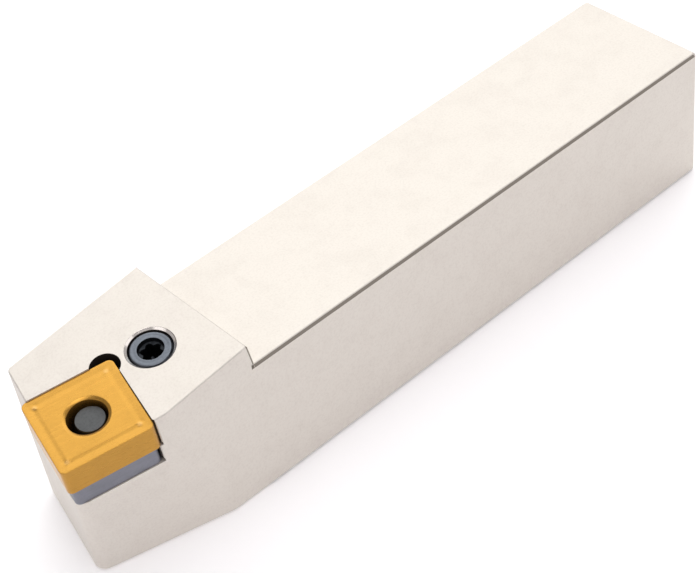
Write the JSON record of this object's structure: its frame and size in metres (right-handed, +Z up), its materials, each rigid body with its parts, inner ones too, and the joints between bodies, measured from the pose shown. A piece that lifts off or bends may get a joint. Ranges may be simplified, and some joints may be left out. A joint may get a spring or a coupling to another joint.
{
  "type": "turning tool holder",
  "caption": "Square-shank external turning tool holder with a tilted square insert clamped by a rocking lever and a socket screw.",
  "frame": {"origin": "middle of the base face: half-way along the 170 mm length, half-way across the 32 mm shank, on the plane it stands on", "axes": "+X along the shank towards the cutting head, +Z up, +Y towards the cutting side"},
  "size_m": [0.1697, 0.032, 0.0391],
  "materials": {
    "holder_steel": "fine matte nickel-coloured surface, faintly speckled",
    "insert_coating": "satin gold-coloured hard coating",
    "shim_carbide": "ground bare carbide, grey",
    "pin_steel": "plain spring steel",
    "lever_steel": "dark oiled steel, scratched on its top",
    "screw_steel": "blue-grey oiled steel"
  },
  "bodies": {
    "holder": {"holder_body": "holder_steel", "cutting_insert": "insert_coating", "shim": "shim_carbide", "shim_pin": "pin_steel"},
    "lever": {"clamp_lever": "lever_steel"},
    "screw": {"clamp_screw": "screw_steel"}
  },
  "joints": [
    {"name": "screw_turn", "type": "hinge", "parent": "holder", "child": "screw", "pos_m": [0.05571, 0.00153, 0.03632], "axis": [0.1273, 0.0735, 0.9891], "range_deg": [0, 180]},
    {"name": "lever_rock", "type": "hinge", "parent": "holder", "child": "lever", "pos_m": [0.0705, 0.00272, 0.01396], "axis": [-0.1589, 0.9859, -0.0528], "range_deg": [0, 2]}
  ],
  "couplings": [
    {"joint": "lever_rock", "follows": "screw_turn", "ratio": 0.0111}
  ]
}
